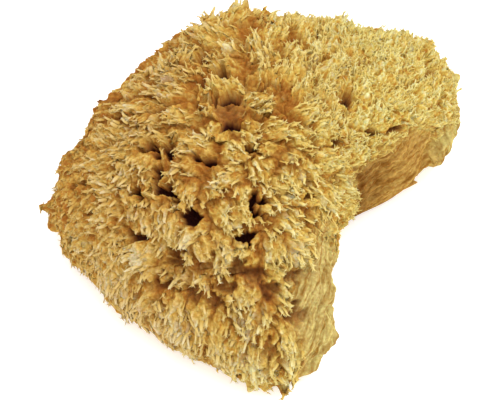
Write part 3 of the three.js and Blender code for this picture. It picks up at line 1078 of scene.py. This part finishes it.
@dataclass(frozen=True)
class FleshFinish:
    """The felted flesh: tan between the tufts, pale on them, with painted shade in the creases and gaps between clumps,
    on the bay's wall and in its inner corner, and brown to nearly black painted shade down the pits.
    """

    name: str
    between: Colour = srgb(185, 132, 61)
    # painted shade in the creases and in the gaps between clumps
    painted_crease_shade: Colour = srgb(146, 88, 36)
    low: Colour = srgb(208, 170, 84)
    high: Colour = srgb(226, 202, 120)
    top: Colour = srgb(234, 227, 188)
    # painted shade: the bay's wall, browner and darker than the lobe's side, as it lies under the wing
    wall: Colour = srgb(200, 160, 98)
    # painted shade in the bay's inner corner, under the wing's lip
    corner: Colour = srgb(150, 108, 62)
    side: Colour = srgb(216, 199, 142)
    # brown fibre down a pit, darkened as painted shade
    pit: Colour = srgb(148, 92, 46)
    # nearly black painted shade at a pit's bottom
    deep: Colour = srgb(66, 32, 26)
    streak: Colour = srgb(186, 152, 112)  # the tint between the streaks of the worn sides
    dust: Colour = srgb(215, 200, 182)  # the tint between the flecks
    fleck: Colour = srgb(255, 255, 252)
    bleach: Bleach = Bleach()
    stops: tuple[float, ...] = (0.04, 0.18, 0.4, 0.76)  # how far up their tufts the felt's colours are
    sunk_stops: tuple[float, ...] = (0.03, 0.18, 0.52)  # where down a pit the felt gives way to its painted shade
    sunk_shares: tuple[float, ...] = (0.0, 0.4, 1.0)
    pit_stops: Pair = (0.25, 0.58)
    streak_stops: Pair = (0.3, 0.62)
    dust_stops: Pair = (0.3, 0.65)
    shift: float = -0.42  # what is added to a point's height up its tuft
    tone_share: float = 0.2  # how much its tuft's tone adds
    fibre_share: float = 0.5  # its fibres
    flake_share: float = 0.12  # its flakes
    fleck_share: float = 0.2  # and its flecks
    fleck_size: float = 1.2 * MM
    fleck_detail: float = 4.0
    speck_size: float = 0.8 * MM
    speck_detail: float = 2.0
    speck_gain: float = 8.0
    speck_from: float = -4.7
    speck_share: float = 0.4  # how much darker specks are
    # how much painted shade the creases and the gaps between clumps get
    crease_shade_share: float = 0.7
    gap_share: float = 0.42
    fibre_length: float = 2.6 * MM
    fibre_width: float = 0.6 * MM
    fibre_twist: float = 0.6
    streak_longer: float = 3.0  # than the fibres
    streak_wider: float = 1.5
    streak_twist: float = 0.15
    flake_length: float = 2.6 * MM
    flake_width: float = 1.1 * MM
    bump_height: float = 0.6 * MM
    bump_strength: float = 0.6
    bump_fibres: float = 0.6  # how much of the bump is fibres
    bump_rest: float = 0.2  # and how much flakes, and flecks
    roughness: float = 0.9
    specular: float = 0.0
    softness: float = 0.35  # how much of the light goes through the fibre
    light_reach: float = 1.5 * MM
    light_shares: Triple = (1.0, 0.5, 0.15)  # of that, for red, green and blue

    def material(self) -> bpy.types.Material:
        """Make the finish from the flesh's own attributes, with flecks of fibre over it.

        Returns:
            The material.
        """
        nodes = Nodes(self.name)
        flecks = nodes.noise(self.fleck_size, self.fleck_detail)
        fibres = nodes.fibres(self.fibre_length, self.fibre_width, self.fibre_twist)
        flakes = nodes.flakes(self.flake_length, self.flake_width)
        peak = self.height(nodes, fibres, flakes, flecks)
        felt = nodes.ramp(peak, self.stops, (self.between, self.low, self.high, self.top))
        felt = nodes.mix(nodes.attribute("trim"), felt, self.worn(nodes))
        felt = self.bleach.tint(nodes, felt, nodes.maths("MAXIMUM", peak, nodes.attribute("trim")))
        # painted shade in the creases and in the gaps between clumps
        for name, share in (("crease", self.crease_shade_share), ("gap", self.gap_share)):
            felt = nodes.mix(nodes.maths("MULTIPLY", nodes.attribute(name), share), felt, self.painted_crease_shade)
        specks = nodes.noise(self.speck_size, self.speck_detail)
        specks = nodes.maths("MULTIPLY_ADD", specks, self.speck_gain, self.speck_from)
        felt = nodes.mix(nodes.maths("MULTIPLY", specks, self.speck_share), felt, self.between)
        felt = nodes.mix(1.0, felt, nodes.ramp(flecks, self.dust_stops, (self.dust, self.fleck)), "MULTIPLY")
        greys = tuple((share, share, share, 1.0) for share in self.sunk_shares)
        # painted shade down the pits: brown, then nearly black at the bottom
        sunk = nodes.ramp(nodes.attribute("hollow"), self.sunk_stops, greys)
        pit = nodes.ramp(nodes.attribute("hollow"), self.pit_stops, (self.pit, self.deep))
        bump = nodes.maths("MULTIPLY_ADD", fibres, self.bump_fibres, nodes.maths("MULTIPLY", flakes, self.bump_rest))
        bump = nodes.maths("MULTIPLY_ADD", flecks, self.bump_rest, bump)
        nodes.bump(bump, self.bump_height, self.bump_strength)
        return nodes.surface({
            "Base Color": nodes.mix(sunk, felt, pit),
            "Roughness": self.roughness,
            "Specular IOR Level": self.specular,
            "Subsurface Weight": self.softness,
            "Subsurface Radius": self.light_shares,
            "Subsurface Scale": self.light_reach,
        })

    def height(self, nodes: Nodes, *noises: Socket) -> Socket:
        """Say how far up its tuft a point is, shifted by its tuft's tone and by the noises.

        Args:
            nodes: the material's nodes.
            noises: the fibres, the flakes and the flecks.

        Returns:
            A number from 0 to 1.
        """
        fibres, flakes, flecks = noises
        shift = nodes.maths("MULTIPLY_ADD", nodes.attribute("tone"), self.tone_share, self.shift, clamp=False)
        shift = nodes.maths("MULTIPLY_ADD", fibres, self.fibre_share, shift, clamp=False)
        shift = nodes.maths("MULTIPLY_ADD", flakes, self.flake_share, shift, clamp=False)
        peak = nodes.maths("ADD", nodes.attribute("peak"), shift, clamp=False)
        return nodes.maths("MULTIPLY_ADD", flecks, self.fleck_share, peak)

    def worn(self, nodes: Nodes) -> Socket:
        """Mix the streaked colour of the worn sides, with painted shade on the bay's wall, darkest in its inner corner.
        """
        wall = nodes.mix(nodes.attribute("shade"), self.wall, self.corner)
        side = nodes.mix(nodes.attribute("wall"), self.side, wall)
        length, width = self.streak_longer * self.fibre_length, self.streak_wider * self.fibre_width
        streaks = nodes.fibres(length, width, self.streak_twist)
        return nodes.mix(1.0, side, nodes.ramp(streaks, self.streak_stops, (self.streak, WHITE)), "MULTIPLY")


@dataclass(frozen=True)
class StudioFinish:
    """A plain pale floor, lit through from below like a light table."""

    name: str = "floor_paper"
    colour: Colour = srgb(250, 250, 250)
    cloud: Colour = srgb(246, 246, 246)
    cloud_size: float = 0.5
    roughness: float = 0.95
    glow: float = 0.35

    def material(self) -> bpy.types.Material:
        """Make the finish: a near-white paper with hardly visible clouding."""
        nodes = Nodes(self.name)
        cloud = nodes.mix(nodes.noise(self.cloud_size), self.colour, self.cloud)
        return nodes.surface({
            "Base Color": cloud,
            "Emission Color": cloud,
            "Emission Strength": self.glow,
            "Roughness": self.roughness,
        })


@dataclass
class Mesh:
    """A mesh as whole arrays, before it becomes an object."""

    points: Array
    faces: Array
    attributes: dict[str, Array] = field(default_factory=dict)
    bake_map: Array | None = None
    normals: Array | None = None

    def triangles(self) -> int:
        """Count the triangles."""
        return len(self.faces) * (self.faces.shape[1] - 2)

    def build(self, name: str, material: bpy.types.Material) -> bpy.types.Object:
        """Put the arrays into a smooth-shaded object at the origin that rides on the sponge's body.

        Args:
            name: the piece's name.
            material: its finish.

        Returns:
            The object.
        """
        count, corners = self.faces.shape
        data = bpy.data.meshes.new(name)
        data.vertices.add(len(self.points))
        data.vertices.foreach_set("co", self.points.astype(np.float32).ravel())
        data.loops.add(count * corners)
        data.loops.foreach_set("vertex_index", self.faces.astype(np.int32).ravel())
        data.polygons.add(count)
        data.polygons.foreach_set("loop_start", np.arange(0, count * corners, corners, dtype=np.int32))
        data.polygons.foreach_set("use_smooth", np.ones(count, bool))
        for key, values in self.attributes.items():
            kind, slot = ("FLOAT_VECTOR", "vector") if values.ndim == 2 else ("FLOAT", "value")
            layer = data.attributes.new(key, kind, "POINT")
            layer.data.foreach_set(slot, values.astype(np.float32).ravel())
        if self.bake_map is not None:
            layer = data.uv_layers.new(name=BAKE_MAP)
            layer.uv.foreach_set("vector", self.bake_map.astype(np.float32).ravel())
        data.update(calc_edges=True)
        if self.normals is not None:
            data.normals_split_custom_set_from_vertices(self.normals.tolist())
        data.materials.append(material)
        piece = put(name, data)
        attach(piece, BODY)
        log.info("%s: %d triangles", name, self.triangles())
        return piece


class Patch(Enum):
    """The flesh's patches, one to each side of the cube that the flesh is laid out on."""

    LEFT = "flesh_left"
    RIGHT = "flesh_right"
    FRONT = "flesh_front"
    BACK = "flesh_back"
    UNDER = "flesh_under"
    CROWN = "flesh_crown"


@dataclass
class Flesh:
    """The sponge's felted flesh: one closed surface, laid out on the six sides of a cube."""

    skin: Skin
    cells: int = 240
    low_edge: float = math.radians(-50)  # the ball's latitude that is laid along the cut face's edge
    dark_depth: float = 11 * MM  # how deep down a pit its painted shade is at its darkest
    margin: float = 0.01  # round a patch's map for baking
    softness: float = 0.35  # how far its shading follows the smooth skin, as matted fibre's does
    wing_softness: float = 0.7
    finish: FleshFinish = FleshFinish("sponge_flesh")

    def lattice(self) -> tuple[Array, Array]:
        """Lay a square grid on each side of a cube, and weld the grids along the cube's edges.

        A grid's place on its side is taken as an angle, tan(place times an eighth of a turn), so that the cells
        are nearly alike once the cube is blown up into a ball. The ball is then drawn down, so that more of it
        covers the dome and less the cut face.

        Returns:
            The ball's points, and their numbers in each grid.
        """
        n = self.cells
        steps = 2 * np.arange(n + 1) - n
        a, b = np.meshgrid(steps, steps, indexing="ij")
        grids = np.empty((3, 2, n + 1, n + 1, 3), int)
        for axis in range(3):
            for end, sign in enumerate((-1, 1)):
                grids[axis, end, ..., axis] = sign * n
                grids[axis, end, ..., (axis + 1) % 3] = a * sign
                grids[axis, end, ..., (axis + 2) % 3] = b
        places, back = np.unique(grids.reshape(-1, 3), axis=0, return_inverse=True)
        ball = unit(np.tan(places / n * (math.pi / 4)))
        quarter = math.pi / 2
        latitude = np.interp(
            np.arcsin(np.clip(ball[:, 2], -1.0, 1.0)),
            (-quarter, self.low_edge, quarter),
            (-quarter, -self.skin.form.tuck, quarter),
        )
        ball = np.column_stack([unit(ball[:, :2]) * np.cos(latitude)[:, None], np.sin(latitude)])
        return ball, back.reshape(6, n + 1, n + 1)

    def normals(self, points: Array, faces: Array) -> Array:
        """Average the faces' normals at each point, over the whole flesh, so that no seam shows.

        Args:
            points: the flesh's points.
            faces: its four-cornered faces.

        Returns:
            Unit normals.
        """
        corner = points[faces]
        across = np.cross(corner[:, 2] - corner[:, 0], corner[:, 3] - corner[:, 1])
        total = np.stack(
            [np.bincount(faces.ravel(), np.repeat(across[:, k], 4), len(points)) for k in range(3)], axis=1
        )
        return unit(total)

    def build(self) -> SkinSample:
        """Make the flesh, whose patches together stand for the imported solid.

        Returns:
            The skin at the flesh's points.
        """
        ball, grids = self.lattice()
        n = self.cells
        corners = [grids[:, :-1, :-1], grids[:, 1:, :-1], grids[:, 1:, 1:], grids[:, :-1, 1:]]
        faces = np.stack(corners, axis=-1).reshape(6, -1, 4)
        sample = self.skin.at(ball)
        normals = self.normals(sample.surface, faces.reshape(-1, 4))
        soft = lerp(self.softness, self.wing_softness, sample.upright)
        normals = unit(lerp(normals, sample.normal, soft[:, None]))
        # hollow, crease, gap, wall and shade carry painted shade into the flesh's colour
        attributes = {
            "hollow": np.clip(sample.depth / self.dark_depth, 0.0, 1.0),
            "crease": sample.crease * sample.clear,
            "trim": np.maximum(sample.trim, sample.cut),
            "wall": sample.wall,
            "shade": sample.shade,
            "peak": sample.peak,
            "tone": sample.tone,
            "gap": sample.gap * sample.clear,
            "strand": sample.strand,
        }
        i, j = np.meshgrid(np.arange(n), np.arange(n), indexing="ij")
        steps = ((0, 0), (1, 0), (1, 1), (0, 1))
        square = np.stack([np.stack([i + di, j + dj], axis=-1) for di, dj in steps], axis=-2)
        flat = self.margin + (1.0 - 2.0 * self.margin) * square.reshape(-1, 2) / n
        material = self.finish.material()
        for patch, some in zip(Patch, faces, strict=True):
            used, inside = np.unique(some, return_inverse=True)
            part = {key: values[used] for key, values in attributes.items()}
            mesh = Mesh(sample.surface[used], inside.reshape(-1, 4), part, flat, normals[used])
            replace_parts(mesh.build(patch.value, material), NODE)
        return sample


@dataclass(frozen=True)
class StrandShape:
    """The mesh of one strand: rings along a curve and a point, closed at its root."""

    levels: tuple[float, ...]
    widths: tuple[float, ...]
    sides: int = 3
    flatness: float = 1.0
    softness: float = 0.85  # how far its shading follows the skin under it, as matted fibre's does
    turn: float = 0.6  # how much of that its sides keep

    def faces(self) -> Array:
        """Number one strand's triangles: its sides ring by ring, its point, and its root."""
        k = np.arange(self.sides)
        after = (k + 1) % self.sides
        rows = []
        for ring in range(len(self.levels) - 1):
            low, high = ring * self.sides, (ring + 1) * self.sides
            rows.append(np.stack([low + k, low + after, high + after], axis=1))
            rows.append(np.stack([low + k, high + after, high + k], axis=1))
        last = (len(self.levels) - 1) * self.sides
        rows.append(np.stack([last + k, last + after, np.full(self.sides, last + self.sides)], axis=1))
        fan = k[1:-1]
        rows.append(np.stack([fan * 0, fan + 1, fan], axis=1))
        return np.concatenate(rows)

    def flat(self) -> Array:
        """Lay one strand's triangle corners out in a square, for baking, with its root below its sides."""
        heights = np.array([*self.levels, 1.0])
        k = np.arange(self.sides, dtype=float)
        rows = []
        for low, high in zip(heights[:-2], heights[1:-1], strict=True):
            lows, highs = np.full(self.sides, low), np.full(self.sides, high)
            rows.append(np.stack([[k, lows], [k + 1, lows], [k + 1, highs]]))
            rows.append(np.stack([[k, lows], [k + 1, highs], [k, highs]]))
        lows, ends = np.full(self.sides, heights[-2]), np.ones(self.sides)
        rows.append(np.stack([[k, lows], [k + 1, lows], [k + 0.5, ends]]))
        fan = k[1:-1]
        below = np.full(len(fan), -0.05)
        rows.append(np.stack([[fan, below], [fan + 1, below], [fan + 0.5, below - 0.1]]))
        corners = np.concatenate([row.transpose(2, 0, 1).reshape(-1, 2) for row in rows])
        return np.column_stack([0.05 + 0.9 * corners[:, 0] / self.sides, 0.2 + 0.75 * corners[:, 1]])


@dataclass
class Strands:
    """Many strands at once. Each runs along a quadratic Bezier curve from its root by its bend to its tip."""

    roots: Array
    bends: Array
    tips: Array
    wide: Array  # the way across which each strand is widest
    up: Array  # the skin's normal under each strand
    radius: Array
    tone: Array
    hollow: Array

    def at(self, share: Array) -> Array:
        """Find the point at a share of the way along each strand."""
        t = share[:, None]
        return self.roots * (1 - t) ** 2 + self.bends * (2 * t * (1 - t)) + self.tips * t**2

    def heading(self, share: Array) -> Array:
        """Find the way that each strand runs at a share of the way along it."""
        t = share[:, None]
        return unit((self.bends - self.roots) * (1 - t) + (self.tips - self.bends) * t)

    def mesh(self, shape: StrandShape) -> Mesh:
        """Sweep the shape's rings along all the curves.

        The ring at a level has the strand's radius times the shape's width there, and is flattened across.

        Args:
            shape: the rings to sweep.

        Returns:
            The strands as one mesh.
        """
        count = len(self.roots)
        heading = unit(self.tips - self.roots)
        wide = beside(self.wide, heading)
        thin = np.cross(heading, wide) * shape.flatness
        angle = 2.0 * math.pi * np.arange(shape.sides) / shape.sides
        ring = wide[:, None] * np.cos(angle)[:, None] + thin[:, None] * np.sin(angle)[:, None]
        rings = [
            self.at(np.full(count, level))[:, None] + ring * (self.radius * width)[:, None, None]
            for level, width in zip(shape.levels, shape.widths, strict=True)
        ]
        points = np.concatenate([*rings, self.tips[:, None]], axis=1)
        each = points.shape[1]
        out = np.concatenate([*([unit(ring)] * len(rings)), heading[:, None]], axis=1)
        facing = (out * self.up[:, None]).sum(axis=2, keepdims=True)
        normals = unit(lerp(out, self.up[:, None], shape.softness * np.clip(shape.turn + facing, 0.0, 1.0)))
        faces = shape.faces()[None] + (np.arange(count) * each)[:, None, None]
        along = np.tile(np.append(np.repeat(shape.levels, shape.sides), 1.0), count)
        attributes = {
            "along": along,
            "tone": np.repeat(self.tone, each),
            "hollow": np.repeat(self.hollow, each),
        }
        columns = math.ceil(math.sqrt(count))
        cells = np.stack([np.arange(count) % columns, np.arange(count) // columns], axis=1)
        flat = (cells[:, None] + shape.flat()[None]) / columns
        return Mesh(
            points.reshape(-1, 3), faces.reshape(-1, 3), attributes, flat.reshape(-1, 2), normals.reshape(-1, 3)
        )


def highest(sample: SkinSample, groups: Array) -> SkinSample:
    """Pick the highest point of each group: the one furthest up its tuft."""
    order = np.lexsort((sample.peak, groups))
    last = np.append(np.diff(groups[order]) != 0, True)
    return sample.chosen(order[last])


@dataclass
class Tongues:
    """Flat tongues of matted fibre that carry on the highest tufts, and the points that their ends are split into."""

    sample: SkinSample  # the skin at the flesh's points
    least_peak: float = 0.36  # how high a tuft has to reach to grow a tongue
    wing_lower: float = 0.1  # how much less on the wing
    left_lower: float = 0.12  # and at the left tip
    left_from: Pair = (42 * MM, 62 * MM)  # where along -X that starts
    least_clear: float = 0.3  # how clear of the cut face a tongue has to be
    most_hollow: float = 0.12  # how far down a pit it may grow
    most_rim: float = 0.92  # and how near a pit's edge
    length: float = 1.4 * MM
    sizes: Pair = (0.6, 1.15)  # of the lengths, on the lowest and the highest tufts
    size_spread: Pair = (0.75, 1.25)
    wing_shorter: float = 0.25
    front_longer: float = 0.7
    radius: float = 0.62 * MM
    radius_spread: Pair = (0.65, 1.2)
    wing_thinner: float = 0.3
    sink: float = 1.6 * MM
    sink_down: float = 0.2  # how much of that a root goes straight down besides
    tip_down: float = 0.15  # how much of its length a tip hangs down
    bend_at: float = 0.3  # how far along the bend is
    lowest: float = 0.5 * MM  # how near the floor a tip may be
    along: float = 0.3  # how far tongues lie along their clump's way
    stray: float = 0.25
    turn: float = 0.3  # how far they are turned about their own way
    curl: float = 0.3
    overhang: float = 0.4
    painted_height_shade: float = 0.9  # how much paler the highest are and darker the lowest: painted shade by height
    tone_spread: float = 0.5
    points: int = 3  # points on a tongue's end
    point_length: float = 1.4 * MM
    point_spread: Pair = (0.6, 1.3)
    point_radius: float = 0.22 * MM
    point_radius_spread: Pair = (0.75, 1.2)
    point_from: Pair = (0.62, 0.85)  # how far along its tongue a point starts
    point_apart: float = 0.6  # how far apart the points are, in half widths of the tongue
    point_shift: float = 0.3  # how far each is moved from its place
    point_stray: float = 0.3
    point_bend: float = 0.5
    point_lowest: float = 0.4 * MM
    point_tones: float = 0.2
    fan: float = 0.7
    seed: int = 41
    tongue: StrandShape = StrandShape(
        levels=(0.0, 0.4, 0.72, 0.92), widths=(0.9, 1.0, 0.78, 0.5), sides=4, flatness=0.42
    )
    point: StrandShape = StrandShape(levels=(0.0, 0.55), widths=(1.0, 0.75))
    finish: FibreFinish = FibreFinish(
        "sponge_tongues", root=srgb(190, 138, 58), low=srgb(211, 176, 92), middle=srgb(230, 206, 132)
    )
    point_finish: FibreFinish = FibreFinish(
        "sponge_points", root=srgb(206, 166, 84), low=srgb(220, 190, 108), middle=srgb(232, 212, 140)
    )

    def grow(self, rng: np.random.Generator) -> Strands:
        """Grow a tongue from the top of each high tuft, the way its felt points.

        Args:
            rng: the source of the draws.

        Returns:
            The tongues as strands.
        """
        tops = highest(self.sample, self.sample.tuft)
        tops = tops.chosen(tops.clear > self.least_clear)
        left = smooth_step(-tops.ground[:, 0], *self.left_from)
        least = self.least_peak - self.wing_lower * tops.upright - self.left_lower * left
        tops = tops.chosen((tops.peak > least) & (tops.hollow < self.most_hollow) & (tops.rim < self.most_rim))
        count = len(tops.peak)
        way = tops.way + self.along * tops.comb + self.overhang * tops.pull
        way = unit(way + self.stray * rng.normal(size=(count, 3)))
        size = lerp(*self.sizes, tops.peak) * rng.uniform(*self.size_spread, count)
        size *= (1.0 - self.wing_shorter * tops.upright) * (1.0 + self.front_longer * tops.front)
        length = (self.length * size)[:, None]
        roots = tops.surface - way * self.sink - tops.normal * (self.sink_down * self.sink)
        tips = tops.surface + way * length - tops.normal * (self.tip_down * self.length)
        tips += self.curl * self.length * rng.normal(size=(count, 3))
        tips[:, 2] = np.maximum(tips[:, 2], self.lowest)
        bends = tops.surface + way * (self.bend_at * length)
        wide = np.cross(way, tops.normal) + self.turn * rng.normal(size=(count, 3))
        radius = self.radius * rng.uniform(*self.radius_spread, count) * (1.0 - self.wing_thinner * tops.upright)
        # painted shade by height: the lower tongues darker, with a random spread of tone
        tone = self.painted_height_shade * (tops.peak - self.least_peak) + rng.uniform(0.0, self.tone_spread, count)
        tone = np.clip(tone, 0.0, 1.0)
        return Strands(roots, bends, tips, wide, tops.normal, radius, tone, tops.hollow)

    def split(self, tongues: Strands, rng: np.random.Generator) -> Strands:
        """Split each tongue's end into points that fan out a little.

        Args:
            tongues: the tongues.
            rng: the source of the draws.

        Returns:
            The points as strands.
        """
        names = tongues.__dataclass_fields__
        many = Strands(*(np.repeat(getattr(tongues, name), self.points, axis=0) for name in names))
        count = len(many.roots)
        start = rng.uniform(*self.point_from, count)
        offset = np.tile(np.linspace(-1, 1, self.points), len(tongues.roots))
        offset += rng.uniform(-self.point_shift, self.point_shift, count)
        heading = many.heading(start)
        wide = beside(many.wide, heading)
        taper = np.interp(start, self.tongue.levels, self.tongue.widths)
        roots = many.at(start) + wide * (self.point_apart * offset * taper * many.radius)[:, None]
        length = self.point_length * rng.uniform(*self.point_spread, count)
        way = heading + wide * (self.fan * offset)[:, None]
        way = unit(way + self.point_stray * rng.normal(size=(count, 3)))
        bends = roots + heading * (self.point_bend * length)[:, None]
        tips = roots + way * length[:, None]
        tips[:, 2] = np.maximum(tips[:, 2], self.point_lowest)
        tone = np.clip(many.tone + rng.uniform(-self.point_tones, self.point_tones, count), 0.0, 1.0)
        radius = self.point_radius * rng.uniform(*self.point_radius_spread, count)
        return Strands(roots, bends, tips, wide, many.up, radius, tone, many.hollow)

    def build(self) -> None:
        """Build the tongues and their points."""
        rng = np.random.default_rng(self.seed)
        tongues = self.grow(rng)
        tongues.mesh(self.tongue).build("tongues", self.finish.material())
        self.split(tongues, rng).mesh(self.point).build("points", self.point_finish.material())


@dataclass
class Studio:
    """A pale floor, soft light from above, and the camera."""

    target: Triple = (-1.5 * MM, -7.2 * MM, 22 * MM)
    distance: float = 700 * MM
    elevation: float = math.radians(58)
    lens: float = 141.0
    sensor: float = 36.0
    clip: Pair = (0.01, 100.0)
    floor_size: float = 6.0
    floor_height: float = -0.05 * MM  # a hair below the cut face
    sky: float = 1.15
    key_power: float = 6.0
    key_size: float = 1.3
    key_place: Triple = (0.3, 0.05, 0.8)
    finish: StudioFinish = StudioFinish()

    def floor(self) -> bpy.types.Object:
        """Lay the floor that the sponge rests on."""
        half = self.floor_size / 2
        data = bpy.data.meshes.new("floor")
        corners = [(x, y, self.floor_height) for x, y in ((-half, -half), (half, -half), (half, half), (-half, half))]
        data.from_pydata(corners, [], [(0, 1, 2, 3)])
        data.materials.append(self.finish.material())
        floor = put("floor", data)
        return floor

    def light(self) -> None:
        """Light the sponge with a white sky and one large lamp overhead."""
        world = bpy.data.worlds.new("studio_sky")
        world.use_nodes = True
        world.node_tree.nodes["Background"].inputs["Strength"].default_value = self.sky
        world.node_tree.nodes["Background"].inputs["Color"].default_value = WHITE
        bpy.context.scene.world = world
        lamp = bpy.data.lights.new("key", "AREA")
        lamp.energy = self.key_power
        lamp.size = self.key_size
        key = put("key", lamp)
        key.location = self.key_place
        key.rotation_mode = "QUATERNION"
        key.rotation_quaternion = key.location.to_track_quat("Z", "Y")

    def camera(self) -> None:
        """Look down on the sponge from the front."""
        data = bpy.data.cameras.new("camera")
        data.lens = self.lens
        data.sensor_width = self.sensor
        data.clip_start, data.clip_end = self.clip
        camera = put("camera", data)
        x, y, z = self.target
        back, up = math.cos(self.elevation), math.sin(self.elevation)
        camera.location = (x, y - self.distance * back, z + self.distance * up)
        camera.rotation_euler = (math.pi / 2 - self.elevation, 0.0, 0.0)
        bpy.context.scene.camera = camera
        bpy.context.scene.view_settings.view_transform = "Standard"


def main() -> None:
    """Build the sponge and the studio."""
    logging.basicConfig(level=logging.INFO, format="%(name)s %(message)s")
    form = SpongeForm()
    skin = Skin(form, Pits(form))
    studio = Studio()
    studio.camera()
    studio.light()
    studio.floor()
    sample = Flesh(skin).build()
    Tongues(sample).build()


if __name__ == "__main__":
    main()
